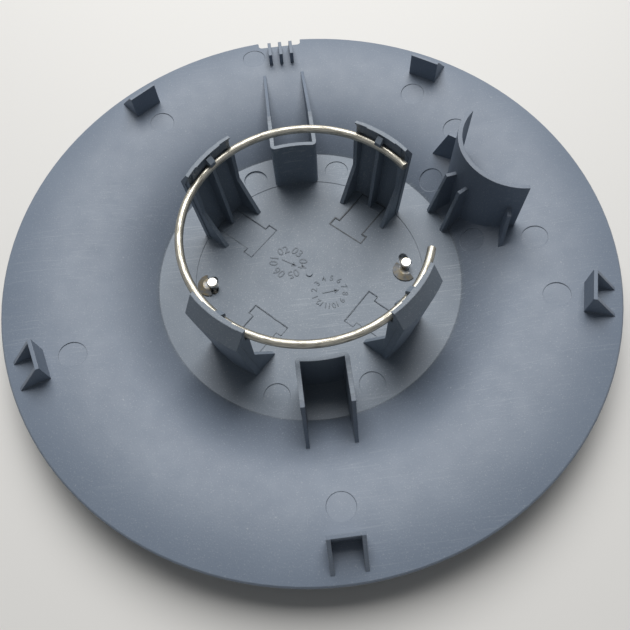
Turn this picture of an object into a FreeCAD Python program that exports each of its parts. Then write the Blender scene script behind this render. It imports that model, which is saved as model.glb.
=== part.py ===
import FreeCAD, Part
import Sketcher
import math
import os

# Wheel center cap, lying on its front face with the snap fingers up.
# Origin at the middle of the front face, +Z towards the wheel, +Y towards the rim notch.
doc = FreeCAD.newDocument("wheel_center_cap")

# Driving sizes in millimetres and degrees; heights are measured up from the back of the plate
sizes = {
    "rim_radius": 101.5,
    "rim_bevel": 0.5,
    "crest_inset": 9,
    "bowl_radius": 68,
    "plate_radius": 52.7,
    "plate_thick": 2.5,
    "core_radius": 39.8,
    "core_step": 0.15,
    "gate_radius": 1.1,
    "gate_height": 0.4,
    "finger_count": 4,
    "finger_angle": 45,
    "finger_width": 20,
    "finger_radius": 41.1,
    "finger_thick": 1.9,
    "finger_height": 34.3,
    "barb_reach": 3.8,
    "barb_height": 28.4,
    "lip_thick": 1.2,
    "lip_step": 0.3,
    "lip_step_angle": 16,
    "gusset_tip": 30.5,
    "gusset_height": 14.4,
    "gusset_thick": 1.5,
    "gusset_inset": 0.3,
    "spine_tip": 35.3,
    "spine_thick": 1.3,
    "peg_width": 2.2,
    "peg_height": 2.7,
    "ring_inset": 0.17,
    "ring_height": 29.28,
    "wire_radius": 1.32,
    "ring_clearance": 0.1,
    "ring_start": 28.1,
    "ring_sweep": 312.7,
    "channel_angle": 90,
    "channel_inner": 39.5,
    "channel_wall": 1.4,
    "channel_width": 16.1,
    "channel_height": 20.8,
    "channel_corner": 1.6,
    "channel_flat_run": 1.6,
    "channel_rib_thick": 1.15,
    "channel_far_margin": 18.3,
    "channel_near_margin": 38.7,
    "tab_count": 5,
    "tab_angle": -90,
    "tab_inset": 12.4,
    "tab_margin": 2.9,
    "tab_width": 10.5,
    "tab_wall": 1.15,
    "tab_height": 21.3,
    "notch_depth": 3.9,
    "notch_width": 16.6,
    "notch_corner": 1.4,
    "notch_flare": 1.2,
    "notch_rib_length": 9.75,
    "notch_rib_flat": 6.6,
    "notch_rib_height": 17.5,
    "notch_rib_thick": 1.25,
    "notch_rib_pitch": 4.1,
    "arch_angle": 18,
    "arch_inset": 24.7,
    "arch_radius": 19.8,
    "arch_wall": 1.5,
    "arch_half_sweep": 67.4,
    "arch_height": 29.6,
    "fin_inner_angle": 10,
    "fin_outer_angle": 56,
    "fin_height": 19.25,
    "fin_flat": 3.5,
    "fin_reach": 7.7,
    "fin_thick": 1.3,
    "pin_radius": 4.3,
    "pin_depth": 0.25,
    "deep_pin_depth": 0.6,
    "hub_pin_distance": 45.8,
    "hub_pin_angle": 19.7,
    "tab_pin_gap": 8,
    "arch_pin_near": 57.9,
    "arch_pin_near_angle": 14.4,
    "arch_pin_far": 76.3,
    "arch_pin_far_angle": 20,
    "notch_pin_inset": 8.5,
    "notch_pin_angle": 6.6,
    "lifter_start": 20.6,
    "lifter_bar": 3.9,
    "lifter_bar_width": 14.4,
    "lifter_stem_width": 10.6,
    "lifter_depth": 0.2,
    "post_radius": 1.45,
    "post_head_radius": 1.9,
    "post_head": 1,
    "post_bevel": 0.35,
    "post_height": 3.6,
    "post_distance": 33.6,
    "post_right_y": -2,
    "post_left_y": -0.6,
    "slot_reach": 2,
    "slot_clearance": 0.1,
    "nut_radius": 4.2,
    "nut_flat": 2.2,
    "nut_thick": 0.45,
    "nut_rise": 0.8,
    "nut_clearance": 0.05,
    "nut_right_x": 33.3,
    "nut_right_y": -3.35,
    "nut_right_angle": 214,
    "nut_left_x": -35,
    "nut_left_y": 0.2,
    "nut_left_angle": 188,
}

sheet = doc.addObject("Spreadsheet::Sheet", "Sizes")
for row, (name, value) in enumerate(sizes.items(), 1):
    sheet.set(f"A{row}", name)
    sheet.set(f"B{row}", str(value))
    sheet.setAlias(f"B{row}", name)
doc.recompute()


# A length or angle that keeps its value together with the formula that gives it
class Size:
    def __init__(self, value, text):
        self.value = value
        self.text = text

    def __add__(self, other):
        other = to_size(other)
        return Size(self.value + other.value, f"({self.text} + {other.text})")

    def __sub__(self, other):
        other = to_size(other)
        return Size(self.value - other.value, f"({self.text} - {other.text})")

    def __mul__(self, other):
        other = to_size(other)
        return Size(self.value * other.value, f"({self.text} * {other.text})")

    def __truediv__(self, other):
        other = to_size(other)
        return Size(self.value / other.value, f"({self.text} / {other.text})")

    def __neg__(self):
        return Size(-self.value, f"(0 - {self.text})")


def to_size(value):
    if isinstance(value, Size):
        return value
    return Size(value, f"({value})")


def root(size):
    return Size(math.sqrt(size.value), f"sqrt({size.text})")


def cosine(angle):
    return Size(math.cos(math.radians(angle.value)), f"cos({angle.text})")


def sine(angle):
    return Size(math.sin(math.radians(angle.value)), f"sin({angle.text})")


def size(name):
    return Size(sizes[name], f"Sizes.{name}")


def bind(item, path, value):
    item.setExpression(path, to_size(value).text)


# The sketch lies flat, or stands upright on a line through (x, y) at the given azimuth
def flat_sketch(body, name, z=0, azimuth=0):
    return attached(body, name, "XY_Plane", (0, 0, 1), (to_size(0), to_size(0), to_size(z)), azimuth)


def upright_sketch(body, name, azimuth=0, x=0, y=0):
    return attached(body, name, "XZ_Plane", (0, 1, 0), (to_size(x), to_size(0), -to_size(y)), azimuth)


def attached(body, name, role, spin, base, azimuth):
    sketch = body.newObject("Sketcher::SketchObject", name)
    plane = [item for item in body.Origin.OriginFeatures if item.Role == role][0]
    sketch.AttachmentSupport = [(plane, "")]
    sketch.MapMode = "FlatFace"
    azimuth = to_size(azimuth)
    turn = FreeCAD.Rotation(FreeCAD.Vector(*spin), azimuth.value)
    sketch.AttachmentOffset = FreeCAD.Placement(FreeCAD.Vector(*[part.value for part in base]), turn)
    for letter, part in zip("xyz", base):
        if part.value:
            bind(sketch, f"AttachmentOffset.Base.{letter}", part)
    if azimuth.value:
        bind(sketch, "AttachmentOffset.Rotation.Angle", azimuth)
    return sketch


def hold(sketch, geometry, end, x, y):
    for kind, value in (("DistanceX", to_size(x)), ("DistanceY", to_size(y))):
        index = sketch.addConstraint(Sketcher.Constraint(kind, -1, 1, geometry, end, value.value))
        bind(sketch, f"Constraints[{index}]", value)


def hold_radius(sketch, geometry, radius):
    radius = to_size(radius)
    index = sketch.addConstraint(Sketcher.Constraint("Radius", geometry, radius.value))
    bind(sketch, f"Constraints[{index}]", radius)


# Closed outline; a corner may carry the arc that leaves it: centre x, centre y, radius, turn
def outline(sketch, corners):
    first = sketch.GeometryCount
    count = len(corners)
    points = [(to_size(corner[0]).value, to_size(corner[1]).value) for corner in corners]
    ends = []
    for index, corner in enumerate(corners):
        start = points[index]
        stop = points[(index + 1) % count]
        if len(corner) == 2:
            line = Part.LineSegment(FreeCAD.Vector(*start, 0), FreeCAD.Vector(*stop, 0))
            sketch.addGeometry(line)
            ends.append((1, 2))
            continue
        centre_x, centre_y, radius, turn = corner[2]
        centre = (to_size(centre_x).value, to_size(centre_y).value)
        around = Part.Circle(FreeCAD.Vector(*centre, 0), FreeCAD.Vector(0, 0, 1), to_size(radius).value)
        leave = math.atan2(start[1] - centre[1], start[0] - centre[0])
        arrive = math.atan2(stop[1] - centre[1], stop[0] - centre[0])
        if turn < 0:
            leave, arrive = arrive, leave
        sketch.addGeometry(Part.ArcOfCircle(around, leave, arrive))
        ends.append((1, 2) if turn > 0 else (2, 1))
    for index, corner in enumerate(corners):
        after = (index + 1) % count
        sketch.addConstraint(Sketcher.Constraint(
            "Coincident", first + index, ends[index][1], first + after, ends[after][0]))
        hold(sketch, first + index, ends[index][0], corner[0], corner[1])
        if len(corner) == 3:
            hold_radius(sketch, first + index, corner[2][2])


def circle(sketch, x, y, radius):
    centre = FreeCAD.Vector(to_size(x).value, to_size(y).value, 0)
    index = sketch.addGeometry(Part.Circle(centre, FreeCAD.Vector(0, 0, 1), to_size(radius).value))
    hold(sketch, index, 3, x, y)
    hold_radius(sketch, index, radius)


def rectangle(sketch, left, right, low, high):
    outline(sketch, [(left, low), (right, low), (right, high), (left, high)])


def pad(body, name, sketch, length, symmetric=False):
    feature = body.newObject("PartDesign::Pad", name)
    feature.Profile = sketch
    if symmetric:
        feature.SideType = "Symmetric"
    bind(feature, "Length", length)
    return feature


def pocket_down(body, name, sketch, length):
    feature = body.newObject("PartDesign::Pocket", name)
    feature.Profile = sketch
    bind(feature, "Length", length)
    return feature


def pocket_through(body, name, sketch):
    feature = body.newObject("PartDesign::Pocket", name)
    feature.Profile = sketch
    feature.SideType = "Symmetric"
    feature.Type = "ThroughAll"
    return feature


def turned(body, kind, name, sketch, angle=360, middle=False):
    feature = body.newObject(f"PartDesign::{kind}", name)
    feature.Profile = sketch
    feature.ReferenceAxis = (sketch, ["V_Axis"])
    feature.Midplane = middle
    bind(feature, "Angle", angle)
    return feature


def repeated(body, name, originals, count):
    feature = body.newObject("PartDesign::PolarPattern", name)
    feature.Originals = originals
    axis = [item for item in body.Origin.OriginFeatures if item.Role == "Z_Axis"][0]
    feature.Axis = (axis, [""])
    feature.Angle = 360
    bind(feature, "Occurrences", count)
    body.Tip = feature
    doc.recompute()
    return feature


def new_body(name):
    body = doc.addObject("PartDesign::Body", name)
    body.Label = name
    body.Placement = FreeCAD.Placement()
    return body


plate = size("plate_thick")
foot = plate / 2
rim = size("rim_radius")
crest = rim - size("crest_inset")
bowl = size("bowl_radius")
plate_edge = size("plate_radius")
bowl_low = -root(bowl * bowl - (crest - plate_edge) * (crest - plate_edge))


# Height of the bowl above the plate at a distance from the axis, for a surface sunk by depth
def bowl_rise(radius, depth=0):
    reach = bowl - depth
    return bowl_low + root(reach * reach - (radius - crest) * (radius - crest))


# Distance at which the surface sunk by depth comes down to a height above the plate
def bowl_start(height, depth):
    reach = bowl - depth
    drop = to_size(height) - bowl_low
    return crest - root(reach * reach - drop * drop)


cap = new_body("cap_body")

# Barbed wall of the snap fingers, turned all round and then parted into fingers
finger_out = size("finger_radius")
finger_in = finger_out - size("finger_thick")
barb = finger_out + size("barb_reach")
barb_in = barb - size("finger_thick")
barb_z = plate + size("barb_height")
top = plate + size("finger_height")
lip_in = finger_out - size("lip_thick")
sketch = upright_sketch(cap, "finger_profile")
outline(sketch, [
    (finger_in, foot), (finger_out, foot), (barb, barb_z), (finger_out, top),
    (lip_in, top), (barb_in, barb_z)])
turned(cap, "Revolution", "finger_wall", sketch)
finger_at = size("finger_angle")
half_step = to_size(180) / size("finger_count")
apex = size("finger_width") / 2 / sine(half_step)
far = apex + barb * cosine(half_step) * 2
wide = barb * sine(half_step) * 2
sketch = flat_sketch(cap, "finger_gap_plan", 0, finger_at + half_step)
outline(sketch, [(apex, 0), (far, -wide), (far, wide)])
finger_gap = pocket_through(cap, "finger_gap", sketch)
doc.recompute()
repeated(cap, "finger_gaps", [finger_gap], size("finger_count"))

# Each finger: a step inside the lip, a ribbed end with its gusset on both sides, a spine and a peg
ring_r = finger_in - size("ring_inset")
ring_z = plate + size("ring_height")
wire = size("wire_radius")
seat_low = ring_z - wire - size("ring_clearance")
seat_high = ring_z + wire + size("ring_clearance")
step = size("lip_step")
sketch = upright_sketch(cap, "lip_step_profile", finger_at)
outline(sketch, [
    (barb_in - step, barb_z), (barb_in + step, barb_z), (lip_in + step, top), (lip_in - step, top)])
finger_parts = [turned(cap, "Revolution", "lip_step", sketch, size("lip_step_angle"), True)]
lean = (barb_in - finger_in) / (barb_z - foot)
gusset_z = plate + size("gusset_height")
half_gusset = size("gusset_thick") / 2
gusset_v = size("finger_width") / 2 - size("gusset_inset") - half_gusset
half_wall = size("finger_thick") / 2
tip = size("gusset_tip")
guard = ring_r + wire + size("ring_clearance")


# Distance along a finger's middle plane to a radius, at a distance across from that plane
def chord(radius, across):
    return root(radius * radius - across * across)


end_in = chord(finger_in, gusset_v)
end_guard = chord(guard, gusset_v - half_gusset)
end_top = top - step * 2
for side, name in ((1, "left"), (-1, "right")):
    shift_x = -gusset_v * side * sine(finger_at)
    shift_y = gusset_v * side * cosine(finger_at)
    sketch = upright_sketch(cap, f"gusset_{name}_profile", finger_at, shift_x, shift_y)
    outline(sketch, [
        (tip, foot), (chord(finger_in + half_wall, gusset_v), foot),
        (chord(barb_in + half_wall, gusset_v), barb_z), (end_guard + step, end_top), (end_guard, end_top),
        (end_guard, seat_low), (end_in, seat_low), (end_in, gusset_z), (tip, plate)])
    finger_parts.append(pad(cap, f"gusset_{name}", sketch, size("gusset_thick"), True))
sketch = upright_sketch(cap, "spine_profile", finger_at)
seat_in = finger_in + lean * (seat_low - foot)
outline(sketch, [
    (size("spine_tip"), foot), (finger_in + half_wall, foot), (seat_in + half_wall, seat_low),
    (ring_r - wire / 2, seat_low)])
finger_parts.append(pad(cap, "spine", sketch, size("spine_thick"), True))
sketch = upright_sketch(cap, "peg_profile", finger_at)
peg_top = seat_high + size("peg_height")
peg_lean = (barb_in - lip_in) / (top - barb_z)
outline(sketch, [
    (ring_r - wire, seat_high), (lip_in + step + peg_lean * (top - seat_high), seat_high),
    (lip_in + step + peg_lean * (top - peg_top), peg_top), (lip_in - step * 2, peg_top),
    (ring_r - wire, seat_high + wire)])
finger_parts.append(pad(cap, "peg", sketch, size("peg_width"), True))
doc.recompute()
repeated(cap, "fingers", finger_parts, size("finger_count"))

# Two channels: a curved end wall towards the hub and two ribs that run out and slope down
channel_z = size("channel_height")
channel_in = size("channel_inner")
channel_out = channel_in + size("channel_wall")
half_out = size("channel_width") / 2
half_in = half_out - size("channel_wall")
flat_end = plate_edge + size("channel_flat_run")
rib_v = half_out - size("channel_wall") / 2
outer_u = root(channel_out * channel_out - half_in * half_in)
corner = size("channel_corner")
corner_v = half_out - corner
corner_u = root((channel_in + corner) * (channel_in + corner) - corner_v * corner_v)
touch = channel_in / (channel_in + corner)
for name, side in (("far", 1), ("near", -1)):
    azimuth = size("channel_angle") * side
    sketch = flat_sketch(cap, f"channel_{name}_plan", foot, azimuth)
    outline(sketch, [
        (corner_u * touch, -corner_v * touch, (0, 0, channel_in, 1)),
        (corner_u * touch, corner_v * touch, (corner_u, corner_v, corner, -1)),
        (corner_u, half_out), (flat_end, half_out),
        (flat_end, half_in), (outer_u, half_in, (0, 0, channel_out, -1)), (outer_u, -half_in),
        (flat_end, -half_in), (flat_end, -half_out),
        (corner_u, -half_out, (corner_u, -corner_v, corner, -1))])
    pad(cap, f"channel_{name}", sketch, channel_z + plate - foot)
    end = rim - size(f"channel_{name}_margin")
    for hand, edge in (("left", 1), ("right", -1)):
        shift_x = -rib_v * edge * sine(azimuth)
        shift_y = rib_v * edge * cosine(azimuth)
        sketch = upright_sketch(cap, f"channel_{name}_{hand}_profile", azimuth, shift_x, shift_y)
        start = flat_end - size("channel_wall")
        outline(sketch, [
            (start, foot), (end, foot), (end, plate + bowl_rise(end)),
            (flat_end, plate + channel_z), (start, plate + channel_z)])
        pad(cap, f"channel_{name}_{hand}", sketch, size("channel_rib_thick"), True)

# Rim tabs: a wall across with a sloping web at each end
tab_at = size("tab_angle")
tab_r = rim - size("tab_inset")
tab_end = rim - size("tab_margin")
tab_z = plate + size("tab_height")
sketch = upright_sketch(cap, "tab_profile", tab_at)
outline(sketch, [
    (tab_r, foot), (tab_end, foot), (tab_end, plate + bowl_rise(tab_end)),
    (tab_r + size("tab_wall"), tab_z), (tab_r, tab_z)])
tab_block = pad(cap, "tab_block", sketch, size("tab_width"), True)
sketch = flat_sketch(cap, "tab_hollow_plan", 0, tab_at)
tab_half = size("tab_width") / 2 - size("tab_wall")
rectangle(sketch, tab_r + size("tab_wall"), tab_end + size("tab_wall"), -tab_half, tab_half)
tab_hollow = pocket_through(cap, "tab_hollow", sketch)
doc.recompute()
repeated(cap, "tabs", [tab_block, tab_hollow], size("tab_count"))

# Three short ribs that run up to the rim notch
notch_at = size("channel_angle")
notch_r = rim - size("notch_depth")
rib_start = notch_r - size("notch_rib_length")
rib_z = plate + size("notch_rib_height")
for name, place in (("left", 1), ("middle", 0), ("right", -1)):
    shift_x = -size("notch_rib_pitch") * place * sine(notch_at)
    shift_y = size("notch_rib_pitch") * place * cosine(notch_at)
    sketch = upright_sketch(cap, f"notch_rib_{name}_profile", notch_at, shift_x, shift_y)
    outline(sketch, [
        (rib_start, foot), (notch_r, foot), (notch_r, plate + bowl_rise(notch_r)),
        (rib_start + size("notch_rib_flat"), rib_z), (rib_start, rib_z)])
    pad(cap, f"notch_rib_{name}", sketch, size("notch_rib_thick"), True)

# Half-round wall, open towards the rim, with four fins round its outside
arch_at = size("arch_angle")
arch_d = rim - size("arch_inset")
arch_r = size("arch_radius")
arch_in = arch_r - size("arch_wall")
arch_x = arch_d * cosine(arch_at)
arch_y = arch_d * sine(arch_at)
sweep = size("arch_half_sweep")
sketch = flat_sketch(cap, "arch_plan", 0, arch_at)
outer_x = arch_d - arch_r * cosine(sweep)
inner_x = arch_d - arch_in * cosine(sweep)
outer_y = arch_r * sine(sweep)
inner_y = arch_in * sine(sweep)
outline(sketch, [
    (outer_x, outer_y, (arch_d, 0, arch_r, 1)), (outer_x, -outer_y),
    (inner_x, -inner_y, (arch_d, 0, arch_in, -1)), (inner_x, inner_y)])
pad(cap, "arch", sketch, plate + size("arch_height"))
fin_z = plate + size("fin_height")
fin_start = arch_r - size("arch_wall") / 2
fin_flat = arch_r + size("fin_flat")
fin_end = arch_r + size("fin_reach")
for name, side, spread in (
        ("one", 1, "outer"), ("two", 1, "inner"), ("three", -1, "inner"), ("four", -1, "outer")):
    angle = size(f"fin_{spread}_angle")
    along = arch_d - fin_end * cosine(angle)
    across = fin_end * sine(angle)
    fin_foot = plate
    if spread == "outer":
        fin_foot = plate + bowl_rise(root(along * along + across * across))
    sketch = upright_sketch(cap, f"fin_{name}_profile", arch_at + 180 - angle * side, arch_x, arch_y)
    outline(sketch, [
        (fin_start, foot), (fin_end, foot), (fin_end, fin_foot), (fin_flat, fin_z), (fin_start, fin_z)])
    pad(cap, f"fin_{name}", sketch, size("fin_thick"), True)
doc.recompute()

# Everything that stands on the bowl ends half-way into its wall
half_sunk = bowl_start(-foot, foot)
beyond = rim + plate
clear_at = arch_at + 140
sketch = upright_sketch(cap, "under_profile", clear_at)
outline(sketch, [
    (0, -plate), (beyond, -plate),
    (beyond, plate + bowl_rise(beyond, foot), (crest, plate + bowl_low, bowl - foot, 1)),
    (half_sunk, foot), (0, foot)])
turned(cap, "Groove", "under_trim", sketch)

# Plate, bowl and rim
core_z = plate - size("core_step")
bevel = size("rim_bevel")
sketch = upright_sketch(cap, "shell_profile", clear_at)
outline(sketch, [
    (0, 0), (bowl_start(-plate, plate), 0, (crest, plate + bowl_low, bowl - plate, -1)),
    (rim - bevel, plate + bowl_rise(rim - bevel, plate)),
    (rim, plate + bowl_rise(rim - bevel, plate) + bevel), (rim, plate + bowl_rise(rim - bevel) - bevel),
    (rim - bevel, plate + bowl_rise(rim - bevel), (crest, plate + bowl_low, bowl, 1)),
    (plate_edge, plate), (size("core_radius"), plate), (size("core_radius"), core_z), (0, core_z)])
turned(cap, "Revolution", "shell", sketch)
doc.recompute()

# Notch in the rim
sketch = flat_sketch(cap, "notch_plan", 0, notch_at)
notch_half = size("notch_width") / 2
notch_corner = size("notch_corner")
notch_low = notch_r + notch_corner
notch_flat = notch_half - notch_corner
flare = size("notch_flare")
mouth_half = notch_half + flare
mouth = root(rim * rim - mouth_half * mouth_half)
outline(sketch, [
    (notch_r, -notch_flat, (notch_low, -notch_flat, notch_corner, 1)),
    (notch_low, -notch_half), (mouth - flare, -notch_half, (mouth - flare, -mouth_half, flare, -1)),
    (mouth, -mouth_half), (beyond, -mouth_half), (beyond, mouth_half),
    (mouth, mouth_half, (mouth - flare, mouth_half, flare, -1)), (mouth - flare, notch_half),
    (notch_low, notch_half, (notch_low, notch_flat, notch_corner, 1)), (notch_r, notch_flat)])
pocket_through(cap, "notch", sketch)

# Moulding marks: rounds left by the ejector pins, lifter outlines and the gate
pin = size("pin_radius")


def hub_pins(name, places, depth):
    sketch = flat_sketch(cap, f"{name}_plan", plate)
    for side, turn in places:
        at = size("channel_angle") + size("hub_pin_angle") * turn
        circle(sketch, size("hub_pin_distance") * cosine(at), size("hub_pin_distance") * sine(at) * side, pin)
    return pocket_down(cap, name, sketch, depth)


# A shallow round sunk square to the bowl
def bowl_pin(name, azimuth, distance):
    rise = bowl_rise(distance)
    lean_u = (distance - crest) / bowl
    lean_z = (rise - bowl_low) / bowl
    depth = size("pin_depth")
    low_u = distance - lean_u * depth
    low_z = plate + rise - lean_z * depth
    high_u = distance + lean_u * pin
    high_z = plate + rise + lean_z * pin
    sketch = upright_sketch(cap, f"{name}_profile", azimuth)
    outline(sketch, [
        (low_u, low_z), (low_u + lean_z * pin, low_z - lean_u * pin),
        (high_u + lean_z * pin, high_z - lean_u * pin), (high_u, high_z)])
    ends = [FreeCAD.Vector(low_u.value, low_z.value, 0), FreeCAD.Vector(high_u.value, high_z.value, 0)]
    line = sketch.addGeometry(Part.LineSegment(*ends), True)
    hold(sketch, line, 1, low_u, low_z)
    hold(sketch, line, 2, high_u, high_z)
    feature = cap.newObject("PartDesign::Groove", name)
    feature.Profile = sketch
    feature.ReferenceAxis = (sketch, ["Axis0"])
    feature.Angle = 360
    return feature


hub_pins("hub_pins", ((1, -1), (-1, 1), (-1, -1)), size("pin_depth"))
hub_pins("deep_hub_pin", ((1, 1),), size("deep_pin_depth"))
for name in ("near", "far"):
    for hand, side in (("left", 1), ("right", -1)):
        at = arch_at + size(f"arch_pin_{name}_angle") * side
        bowl_pin(f"arch_pin_{name}_{hand}", at, size(f"arch_pin_{name}"))
bowl_pin("notch_pin", notch_at + size("notch_pin_angle"), rim - size("notch_pin_inset"))
tab_mark = bowl_pin("tab_pin", tab_at, tab_r - size("tab_pin_gap"))
doc.recompute()
repeated(cap, "tab_pins", [tab_mark], size("tab_count"))
sketch = flat_sketch(cap, "lifter_plan", core_z, finger_at)
lifter = size("lifter_start")
bar_end = lifter + size("lifter_bar")
bar_half = size("lifter_bar_width") / 2
stem_half = size("lifter_stem_width") / 2
outline(sketch, [
    (lifter, -bar_half), (bar_end, -bar_half), (bar_end, -stem_half), (size("spine_tip"), -stem_half),
    (size("spine_tip"), stem_half), (bar_end, stem_half), (bar_end, bar_half), (lifter, bar_half)])
lifter_mark = pocket_down(cap, "lifter", sketch, size("lifter_depth"))
doc.recompute()
repeated(cap, "lifters", [lifter_mark], size("finger_count"))
sketch = flat_sketch(cap, "gate_plan", foot)
circle(sketch, 0, 0, size("gate_radius"))
pad(cap, "gate", sketch, core_z - foot + size("gate_height"))

# Slots through the plate for the two posts
post = size("post_radius")
post_x = size("post_distance")
slot_half = post + size("slot_clearance")
reach = size("slot_reach")
sketch = flat_sketch(cap, "slot_plan")
end_sketch = flat_sketch(cap, "slot_end_plan")
for side in (1, -1):
    middle = post_x * side
    rectangle(sketch, middle - slot_half, middle + slot_half, -reach, reach)
pocket_through(cap, "slots", sketch)
for side in (1, -1):
    for end in (1, -1):
        circle(end_sketch, post_x * side, reach * end, slot_half)
pocket_through(cap, "slot_ends", end_sketch)
doc.recompute()

# Open spring-wire ring seated inside the fingers
ring = new_body("retaining_ring")
sketch = upright_sketch(ring, "wire_profile", size("ring_start"))
circle(sketch, ring_r, ring_z, wire)
turned(ring, "Revolution", "wire_ring", sketch, size("ring_sweep"))

# Two posts with flattened ends that come through the slots
posts = new_body("badge_posts")
head = size("post_head_radius")
post_top = plate + size("post_height")
head_low = post_top - size("post_head")
post_bevel = size("post_bevel")
places = {"right": (post_x, size("post_right_y")), "left": (-post_x, size("post_left_y"))}
for name, (x, y) in places.items():
    sketch = upright_sketch(posts, f"post_{name}_profile", 0, x, y)
    outline(sketch, [
        (0, 0), (post, 0), (post, head_low - post_bevel), (head, head_low), (head, post_top - post_bevel),
        (head - post_bevel, post_top), (0, post_top)])
    turned(posts, "Revolution", f"post_{name}", sketch)

# Half-round push nuts whose edge rests on the plate and whose raised middle grips the posts
nuts = new_body("push_nuts")
nut_out = size("nut_radius")
nut_flat = size("nut_flat")
nut_thick = size("nut_thick")
nut_rise = size("nut_rise")
for name, (x, y) in places.items():
    sketch = upright_sketch(
        nuts, f"nut_{name}_profile", size(f"nut_{name}_angle"), size(f"nut_{name}_x"), size(f"nut_{name}_y"))
    outline(sketch, [
        (0, core_z + nut_rise), (nut_flat, core_z + nut_rise), (nut_out, core_z),
        (nut_out, core_z + nut_thick), (nut_flat, core_z + nut_rise + nut_thick),
        (0, core_z + nut_rise + nut_thick)])
    turned(nuts, "Revolution", f"nut_{name}", sketch, 180, True)
doc.recompute()
sketch = flat_sketch(nuts, "nut_grip_plan")
for x, y in places.values():
    circle(sketch, x, y, post + size("nut_clearance"))
pocket_through(nuts, "nut_grips", sketch)
doc.recompute()

# Every feature has to stand before any file is written
for item in doc.Objects:
    if "Invalid" in item.State or "Error" in item.State:
        raise RuntimeError(f"{item.Name} failed: {item.State}")
for body in (cap, ring, posts, nuts):
    if body.Shape.isNull() or not body.Shape.isValid():
        raise RuntimeError(f"{body.Label} has no valid shape")
os.makedirs("parts", exist_ok=True)
for body in (cap, ring, posts, nuts):
    body.Shape.exportStep(f"parts/{body.Label}.step")
    box = body.Shape.BoundBox
    print(body.Label, len(body.Shape.Solids), "solids", round(body.Shape.Volume, 1), "mm3",
          [round(value, 2) for value in (box.XMin, box.YMin, box.ZMin, box.XMax, box.YMax, box.ZMax)])
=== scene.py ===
import bpy
import bmesh
import math
import random
from mathutils import Matrix, Vector


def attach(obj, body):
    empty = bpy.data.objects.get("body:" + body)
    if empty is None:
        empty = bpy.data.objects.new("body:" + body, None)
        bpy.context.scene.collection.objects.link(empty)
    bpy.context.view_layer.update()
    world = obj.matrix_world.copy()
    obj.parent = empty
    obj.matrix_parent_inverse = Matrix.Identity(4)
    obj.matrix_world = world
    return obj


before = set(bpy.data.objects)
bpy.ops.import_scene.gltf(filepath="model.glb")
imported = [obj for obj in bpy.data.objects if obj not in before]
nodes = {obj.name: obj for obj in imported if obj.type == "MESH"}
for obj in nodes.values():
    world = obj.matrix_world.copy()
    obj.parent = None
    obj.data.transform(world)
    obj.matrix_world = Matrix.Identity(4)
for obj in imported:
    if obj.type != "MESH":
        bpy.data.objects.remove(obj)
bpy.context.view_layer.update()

scene = bpy.context.scene
scene.view_settings.view_transform = "Standard"

# camera, from the photo: metres, cap frame
camSpec = {
    "place": Vector((-0.00406, -0.10622, 0.19232)),
    "aim": Vector((0.00006, -0.01622, 0.0025)),
    "roll": math.radians(-4.71),
    "lens": 35.373,
}


def addCamera(spec):
    data = bpy.data.cameras.new("cam")
    data.sensor_width = 36
    data.lens = spec["lens"]
    data.clip_start = 0.01
    cam = bpy.data.objects.new("cam", data)
    scene.collection.objects.link(cam)
    forward = (spec["aim"] - spec["place"]).normalized()
    side = forward.cross(Vector((0, 0, 1))).normalized()
    up = side.cross(forward)
    right = side * math.cos(spec["roll"]) + up * math.sin(spec["roll"])
    top = up * math.cos(spec["roll"]) - side * math.sin(spec["roll"])
    turn = Matrix((right, top, -forward)).transposed()
    cam.matrix_world = Matrix.Translation(spec["place"]) @ turn.to_4x4()
    scene.camera = cam


addCamera(camSpec)
print("camera set")


# node helpers
def newMaterial(name):
    mat = bpy.data.materials.new(name)
    mat.use_nodes = True
    tree = mat.node_tree
    return mat, tree, tree.nodes["Principled BSDF"]


def feed(tree, socket, value):
    if isinstance(value, bpy.types.NodeSocket):
        tree.links.new(value, socket)
    else:
        socket.default_value = value


def objectCoords(tree):
    return tree.nodes.new("ShaderNodeTexCoord").outputs["Object"]


def noise(tree, coords, scale, detail=2.0, rough=0.5):
    node = tree.nodes.new("ShaderNodeTexNoise")
    node.inputs["Scale"].default_value = scale
    node.inputs["Detail"].default_value = detail
    node.inputs["Roughness"].default_value = rough
    tree.links.new(coords, node.inputs["Vector"])
    return node.outputs["Fac"]


def mapRange(tree, source, low, high, toLow=0.0, toHigh=1.0):
    node = tree.nodes.new("ShaderNodeMapRange")
    keys = ("Value", "From Min", "From Max", "To Min", "To Max")
    for key, value in zip(keys, (source, low, high, toLow, toHigh)):
        feed(tree, node.inputs[key], value)
    return node.outputs["Result"]


def compute(tree, operation, first, second=0.0):
    node = tree.nodes.new("ShaderNodeMath")
    node.operation = operation
    feed(tree, node.inputs[0], first)
    feed(tree, node.inputs[1], second)
    return node.outputs["Value"]


def mixColour(tree, factor, first, second, mode="MIX"):
    node = tree.nodes.new("ShaderNodeMix")
    node.data_type = "RGBA"
    node.blend_type = mode
    for socket, value in ((node.inputs[0], factor), (node.inputs[6], first), (node.inputs[7], second)):
        feed(tree, socket, value)
    return node.outputs[2]


# thin scratches along one direction, kept to patches
def scratches(tree, coords, turn, across, low):
    mapping = tree.nodes.new("ShaderNodeMapping")
    mapping.inputs["Rotation"].default_value = (0, 0, turn)
    mapping.inputs["Scale"].default_value = (across / 40, across, across / 4)
    tree.links.new(coords, mapping.inputs["Vector"])
    lines = mapRange(tree, noise(tree, mapping.outputs["Vector"], 1.0, 1.0), low, low + 0.05)
    return compute(tree, "MULTIPLY", lines, mapRange(tree, noise(tree, coords, 26), 0.5, 0.62))


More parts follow.
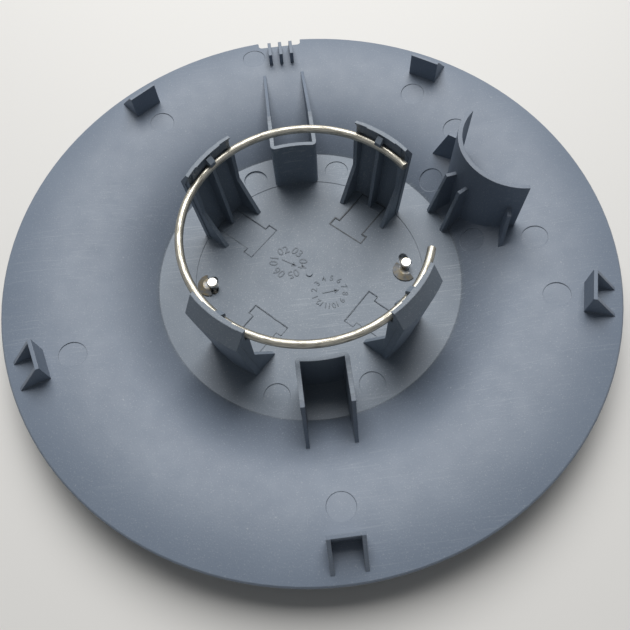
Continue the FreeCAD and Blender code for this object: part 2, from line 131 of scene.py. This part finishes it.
# distance from the cap's axis
def axisDistance(tree, coords):
    flat = tree.nodes.new("ShaderNodeVectorMath")
    flat.operation = "MULTIPLY"
    flat.inputs[1].default_value = (1, 1, 0)
    tree.links.new(coords, flat.inputs[0])
    reach = tree.nodes.new("ShaderNodeVectorMath")
    reach.operation = "LENGTH"
    tree.links.new(flat.outputs["Vector"], reach.inputs[0])
    return reach.outputs["Value"]


# satin moulded plastic: mottled tint, painted shade in the crease round the hub, sparkle of the mould
# texture, scratches, pale worn edges
plasticSpec = {
    "base": (0.1445, 0.180, 0.236, 1),
    "pale": (0.188, 0.228, 0.289, 1),
    "speck": (0.50, 0.53, 0.56, 1),
    "worn": (0.42, 0.46, 0.50, 1),
    "scratchTurns": (0.6, -0.5, 1.3),
    "hubTint": (1.0, 0.99, 0.94, 1),
    # painted shade: bowl colour darkened just outside the hub crease, fading outward
    "paintedCreaseShade": (0.0525, 0.068),
    "textured": (0.0525, 0.054),
    "sparkle": (0.34, 0.20),  # on the hub, on the bowl
    "scuff": (0.26, 0.11),
    "dust": 0.25,
    "rubbed": (0.028, 0.034),
    "edge": 0.0003,
    "rough": (0.39, 0.55),
    "bump": 0.14,
}


def makePlastic(name, spec):
    mat, tree, shader = newMaterial(name)
    coords = objectCoords(tree)
    reach = axisDistance(tree, coords)
    colour = mixColour(tree, noise(tree, coords, 45, 4), spec["base"], spec["pale"])
    # painted shade: colour darkened to 0.74 at the hub crease and back to full by the end of the range;
    # the hub itself is untouched
    slopeShade = mapRange(tree, reach, *spec["paintedCreaseShade"], 0.74, 1.0)
    onHub = compute(tree, "LESS_THAN", reach, spec["paintedCreaseShade"][0])
    paintedShade = compute(tree, "MAXIMUM", slopeShade, onHub)
    colour = mixColour(tree, 1.0, colour, paintedShade, "MULTIPLY")
    tint = mixColour(tree, mapRange(tree, reach, *spec["textured"]), spec["hubTint"], (1, 1, 1, 1))
    colour = mixColour(tree, 1.0, colour, tint, "MULTIPLY")
    sparkle = mapRange(tree, noise(tree, coords, 2400, 1, 0.6), 0.60, 0.74)
    strength = mapRange(tree, reach, *spec["textured"], *spec["sparkle"])
    colour = mixColour(tree, compute(tree, "MULTIPLY", sparkle, strength), colour, spec["speck"])
    dust = mapRange(tree, noise(tree, coords, 900, 1, 0.5), 0.77, 0.81, 0.0, spec["dust"])
    colour = mixColour(tree, dust, colour, spec["speck"])
    scuffed = mapRange(tree, reach, *spec["textured"], *spec["scuff"])
    for turn in spec["scratchTurns"]:
        marks = compute(tree, "MULTIPLY", scratches(tree, coords, turn, 2200, 0.66), scuffed)
        colour = mixColour(tree, marks, colour, spec["worn"])
    rounded = tree.nodes.new("ShaderNodeBevel")
    rounded.samples = 4
    rounded.inputs["Radius"].default_value = spec["edge"]
    facing = tree.nodes.new("ShaderNodeVectorMath")
    facing.operation = "DOT_PRODUCT"
    tree.links.new(rounded.outputs["Normal"], facing.inputs[0])
    tree.links.new(tree.nodes.new("ShaderNodeNewGeometry").outputs["True Normal"], facing.inputs[1])
    parts = tree.nodes.new("ShaderNodeSeparateXYZ")
    tree.links.new(coords, parts.inputs[0])
    rubbed = mapRange(tree, parts.outputs["Z"], *spec["rubbed"], 0.5, 0.9)
    edge = mapRange(tree, facing.outputs["Value"], 0.98, 0.80, 0.0, rubbed)
    edge = compute(tree, "MULTIPLY", edge, mapRange(tree, noise(tree, coords, 500, 3), 0.35, 0.65))
    tree.links.new(mixColour(tree, edge, colour, spec["worn"]), shader.inputs["Base Color"])
    patchy = mapRange(tree, noise(tree, coords, 160, 3), 0.0, 1.0, *spec["rough"])
    feed(tree, shader.inputs["Roughness"], patchy)
    bump = tree.nodes.new("ShaderNodeBump")
    bump.inputs["Strength"].default_value = spec["bump"]
    bump.inputs["Distance"].default_value = 0.0002
    tree.links.new(noise(tree, coords, 1700, 3), bump.inputs["Height"])
    tree.links.new(rounded.outputs["Normal"], bump.inputs["Normal"])
    tree.links.new(bump.outputs["Normal"], shader.inputs["Normal"])
    return mat


# plated or dull metal with patchy tarnish
def makeMetal(name, base, stain, rough):
    mat, tree, shader = newMaterial(name)
    coords = objectCoords(tree)
    shader.inputs["Metallic"].default_value = 1.0
    tarnish = mapRange(tree, noise(tree, coords, 420, 4, 0.6), 0.42, 0.66)
    tree.links.new(mixColour(tree, tarnish, base, stain), shader.inputs["Base Color"])
    patchy = mapRange(tree, noise(tree, coords, 700, 3), 0.3, 0.7, rough * 0.7, rough * 1.3)
    feed(tree, shader.inputs["Roughness"], patchy)
    bump = tree.nodes.new("ShaderNodeBump")
    bump.inputs["Strength"].default_value = 0.2
    bump.inputs["Distance"].default_value = 0.0001
    tree.links.new(noise(tree, coords, 1500, 2), bump.inputs["Height"])
    tree.links.new(bump.outputs["Normal"], shader.inputs["Normal"])
    return mat


# drawn wire: streaks that run round the ring
def makeWire(name, base, streak):
    mat, tree, shader = newMaterial(name)
    coords = objectCoords(tree)
    parts = tree.nodes.new("ShaderNodeSeparateXYZ")
    tree.links.new(coords, parts.inputs[0])
    along = compute(tree, "ARCTAN2", parts.outputs["Y"], parts.outputs["X"])
    wound = tree.nodes.new("ShaderNodeCombineXYZ")
    feed(tree, wound.inputs["X"], compute(tree, "MULTIPLY", along, 9.0))
    feed(tree, wound.inputs["Y"], compute(tree, "MULTIPLY", axisDistance(tree, coords), 5200.0))
    feed(tree, wound.inputs["Z"], compute(tree, "MULTIPLY", parts.outputs["Z"], 5200.0))
    lines = mapRange(tree, noise(tree, wound.outputs["Vector"], 1.0, 2.0), 0.48, 0.66)
    shader.inputs["Metallic"].default_value = 1.0
    tree.links.new(mixColour(tree, lines, base, streak), shader.inputs["Base Color"])
    feed(tree, shader.inputs["Roughness"], mapRange(tree, lines, 0.0, 1.0, 0.36, 0.52))
    bump = tree.nodes.new("ShaderNodeBump")
    bump.inputs["Strength"].default_value = 0.25
    bump.inputs["Distance"].default_value = 0.00008
    tree.links.new(lines, bump.inputs["Height"])
    tree.links.new(bump.outputs["Normal"], shader.inputs["Normal"])
    return mat


def dress(name, mat):
    mesh = nodes[name].data
    mesh.materials.clear()
    mesh.materials.append(mat)


plastic = makePlastic("satinPlastic", plasticSpec)
# darker plastic as painted shade: in the lifter seams it stands in for the shade in the seam gaps, on the
# date dials for the shaded outlines of the raised digits
seamAndDialShadeSpec = dict(plasticSpec, base=(0.104, 0.130, 0.170, 1), pale=(0.126, 0.155, 0.197, 1))
seamAndDialShade = makePlastic("seamAndDialShadePlastic", seamAndDialShadeSpec)
# near-black plastic as painted shade for the deeper, darker gap of the far right seam
deepSeamShadeSpec = dict(plasticSpec, base=(0.045, 0.054, 0.068, 1), pale=(0.075, 0.09, 0.11, 1))
deepSeamShade = makePlastic("deepSeamShadePlastic", deepSeamShadeSpec)
dress("cap_body", plastic)
dress("retaining_ring", makeWire("drawnWire", (0.52, 0.49, 0.42, 1), (0.19, 0.175, 0.14, 1)))
dress("badge_posts", makeMetal("brightPost", (0.88, 0.87, 0.83, 1), (0.55, 0.50, 0.40, 1), 0.30))
dress("push_nuts", makeMetal("dullSteel", (0.17, 0.175, 0.18, 1), (0.24, 0.20, 0.13, 1), 0.50))
print("materials set")


# mesh helpers
def pickOnly(piece):
    bpy.ops.object.select_all(action="DESELECT")
    piece.select_set(True)
    bpy.context.view_layer.objects.active = piece


def closeUp(piece):
    pickOnly(piece)
    bpy.ops.object.mode_set(mode="EDIT")
    bpy.ops.mesh.select_all(action="SELECT")
    bpy.ops.mesh.remove_doubles(threshold=1e-6)
    bpy.ops.mesh.normals_make_consistent(inside=False)
    bpy.ops.object.mode_set(mode="OBJECT")


def settle(piece):
    pickOnly(piece)
    bpy.ops.object.transform_apply(location=True, rotation=True, scale=True)


def finishPiece(piece, name, mat):
    piece.name = name
    piece.data.materials.clear()
    piece.data.materials.append(mat)
    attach(piece, "root")


# ridged pad inside each finger's lip, behind the wire
padSpec = {
    "inner": 0.03988, "outer": 0.0412, "low": 0.03335, "high": 0.03674,
    "half": 11.6, "ridges": 48, "ridge": 0.00009,
    "turns": {"far_right": 45, "far_left": 135, "near_left": 225, "near_right": 315},
}


def addLipPad(name, turn, spec):
    bpy.ops.object.select_all(action="DESELECT")
    middle = (spec["inner"] + spec["outer"]) / 2
    height = (spec["low"] + spec["high"]) / 2
    bpy.ops.mesh.primitive_plane_add(size=1, location=(middle, 0, height), rotation=(math.pi / 2, 0, 0))
    piece = bpy.context.object
    piece.scale = (spec["outer"] - spec["inner"], spec["high"] - spec["low"], 1)
    settle(piece)
    bpy.ops.object.mode_set(mode="EDIT")
    bpy.ops.mesh.select_all(action="SELECT")
    bpy.ops.mesh.spin(
        steps=spec["ridges"], angle=math.radians(spec["half"] * 2), center=(0, 0, 0), axis=(0, 0, 1))
    bpy.ops.object.mode_set(mode="OBJECT")
    closeUp(piece)
    luck = random.Random(turn + 1)
    shifts = {}
    for vert in piece.data.vertices:
        across = vert.co.xy.length
        if across < middle:
            key = round(math.degrees(math.atan2(vert.co.y, vert.co.x)), 2)
            shifts.setdefault(key, luck.uniform(0, spec["ridge"]))
            vert.co.xy *= (across + shifts[key]) / across
    centre = sum((vert.co for vert in piece.data.vertices), Vector())
    piece.rotation_euler.z = math.radians(turn) - math.atan2(centre.y, centre.x)  # spin may run either way
    settle(piece)
    finishPiece(piece, f"lip_pad_{name}", plastic)


for name, turn in padSpec["turns"].items():
    addLipPad(name, turn, padSpec)
print("lip pads made")

# seam line left round each mould lifter on the hub floor
lifterSpec = {
    "columns": (0.0206, 0.0245, 0.0387),
    "rows": (-0.0072, -0.0053, 0.0053, 0.0072),
    "low": 0.00212,
    "thick": 0.00028,
    "jitter": 0.00006,
    # seam lines are coloured darker as painted shade for the shade in their gaps; the far right one is
    # darkest, as its gap is deepest
    "lines": {
        "far_right": (45, 0.00045, deepSeamShade), "far_left": (135, 0.00028, seamAndDialShade),
        "near_left": (225, 0.00024, seamAndDialShade), "near_right": (315, 0.00024, seamAndDialShade),
    },
}


def addLifterLine(name, turn, line, mat, spec):
    bpy.ops.object.select_all(action="DESELECT")
    bpy.ops.mesh.primitive_grid_add(x_subdivisions=2, y_subdivisions=3, size=2)
    piece = bpy.context.object
    shape = bmesh.new()
    shape.from_mesh(piece.data)
    for vert in shape.verts:
        column = round(vert.co.x) + 1
        row = (round(vert.co.y * 3) + 3) // 2
        vert.co = Vector((spec["columns"][column], spec["rows"][row], spec["low"]))
    stem = spec["columns"][1]
    corners = [face for face in shape.faces if face.calc_center_median().x > stem
               and abs(face.calc_center_median().y) > spec["rows"][2]]
    bmesh.ops.delete(shape, geom=corners, context="FACES")
    inside = list(shape.faces)
    bmesh.ops.inset_region(shape, faces=inside, thickness=line, use_boundary=True, use_even_offset=True)
    bmesh.ops.delete(shape, geom=inside, context="FACES")
    bmesh.ops.subdivide_edges(shape, edges=shape.edges[:], cuts=5, use_grid_fill=True)
    luck = random.Random(turn)
    for vert in shape.verts:
        vert.co.x += luck.uniform(-1, 1) * spec["jitter"]
        vert.co.y += luck.uniform(-1, 1) * spec["jitter"]
    shape.to_mesh(piece.data)
    shape.free()
    pickOnly(piece)
    wall = piece.modifiers.new("wall", "SOLIDIFY")
    wall.thickness = spec["thick"]
    wall.offset = 1
    bpy.ops.object.modifier_apply(modifier="wall")
    closeUp(piece)
    piece.rotation_euler.z = math.radians(turn)
    settle(piece)
    finishPiece(piece, f"lifter_line_{name}", mat)


for name, (turn, line, mat) in lifterSpec["lines"].items():
    addLifterLine(name, turn, line, mat, lifterSpec)
print("lifter lines made")

# two moulded date dials: plain numbers round an arrow
dialSpec = {
    "floor": 0.00235,
    "sink": 0.00004,
    "rise": 0.00012,
    "bold": 0.00003,
    "arrow": {"long": 0.0050, "wide": 0.00036, "head": 0.0011},
    "dials": {
        "wide": {
            "centre": (-0.00684, 0.00570), "ring": 0.0050, "count": 6, "digits": 2,
            "size": 0.0042, "packed": 1.0, "turn": 165, "arrow": -35},
        "fine": {
            "centre": (0.00613, -0.00799), "ring": 0.0053, "count": 12, "digits": 1,
            "size": 0.0029, "packed": 0.88, "turn": 195, "arrow": 5},
    },
}


def addDial(name, dial, spec):
    depth = spec["rise"] + spec["sink"]
    middle = Vector((*dial["centre"], spec["floor"] + (spec["rise"] - spec["sink"]) / 2))
    made = []
    for step in range(dial["count"]):
        angle = math.radians(dial["turn"] - 360 * step / dial["count"])
        bpy.ops.object.select_all(action="DESELECT")
        bpy.ops.object.text_add()
        number = bpy.context.object
        number.data.body = str(step + 1).zfill(dial["digits"])
        number.data.align_x = "CENTER"
        number.data.align_y = "CENTER"
        number.data.size = dial["size"]
        number.data.extrude = depth / 2
        number.data.offset = spec["bold"]
        number.data.space_character = dial["packed"]
        number.data.resolution_u = 4
        bpy.ops.object.convert(target="MESH")
        number = bpy.context.object
        number.location = middle + dial["ring"] * Vector((math.cos(angle), math.sin(angle), 0))
        number.rotation_euler.z = angle - math.pi / 2
        made.append(number)
    aim = math.radians(dial["arrow"])
    pointer = Vector((math.cos(aim), math.sin(aim), 0))
    arrow = spec["arrow"]
    bpy.ops.object.select_all(action="DESELECT")
    bpy.ops.mesh.primitive_cube_add(size=1, location=middle, rotation=(0, 0, aim))
    bpy.context.object.scale = (arrow["long"], arrow["wide"], depth)
    made.append(bpy.context.object)
    tip = middle + pointer * (arrow["long"] / 2 - arrow["head"] / 4)
    bpy.ops.mesh.primitive_cylinder_add(
        vertices=3, radius=arrow["head"], depth=depth, location=tip, rotation=(0, 0, aim - math.pi / 2))
    made.append(bpy.context.object)
    for part in made:
        settle(part)
        closeUp(part)
    bpy.ops.object.select_all(action="DESELECT")
    for part in made:
        part.select_set(True)
    bpy.context.view_layer.objects.active = made[0]
    bpy.ops.object.join()
    settle(made[0])
    # the dial takes the darker plastic: painted shade for the shaded outlines of its raised digits
    finishPiece(made[0], f"date_dial_{name}", seamAndDialShade)


for name, dial in dialSpec["dials"].items():
    addDial(name, dial, dialSpec)
print("date dials made")

# floor and light
floorSpec = {"size": 6.0, "level": -0.0002, "rough": 0.6, "colour": (0.78, 0.765, 0.735, 1)}
bpy.ops.object.select_all(action="DESELECT")
bpy.ops.mesh.primitive_plane_add(size=floorSpec["size"], location=(0, 0, floorSpec["level"]))
floor = bpy.context.object
floor.name = "floor"
floorMat, _, floorShader = newMaterial("paleBench")
floorShader.inputs["Base Color"].default_value = floorSpec["colour"]
floorShader.inputs["Roughness"].default_value = floorSpec["rough"]
floor.data.materials.append(floorMat)

# pale room: low light on the cap, bright where it is seen or mirrored
roomSpec = {"tint": (0.92, 0.96, 1, 1), "light": 0.12, "backdrop": 0.42}
world = bpy.data.worlds.new("room")
scene.world = world
world.use_nodes = True
roomTree = world.node_tree
rays = roomTree.nodes.new("ShaderNodeLightPath").outputs
seen = compute(roomTree, "MAXIMUM", rays["Is Camera Ray"], rays["Is Glossy Ray"])
seen = compute(roomTree, "MAXIMUM", seen, rays["Is Transmission Ray"])
room = roomTree.nodes["Background"]
room.inputs["Color"].default_value = roomSpec["tint"]
strength = mapRange(roomTree, seen, 0, 1, roomSpec["light"], roomSpec["backdrop"])
feed(roomTree, room.inputs["Strength"], strength)

keyLight = {"place": Vector((0.05, 0.53, 0.86)), "aim": Vector((0, 0, 0)), "size": 0.8, "watts": 11.5}


def addArea(name, spec):
    data = bpy.data.lights.new(name, "AREA")
    data.size = spec["size"]
    data.energy = spec["watts"]
    lamp = bpy.data.objects.new(name, data)
    scene.collection.objects.link(lamp)
    lamp.location = spec["place"]
    lamp.rotation_euler = (spec["aim"] - spec["place"]).to_track_quat("-Z", "Y").to_euler()


addArea("keyLight", keyLight)
print("stage set")
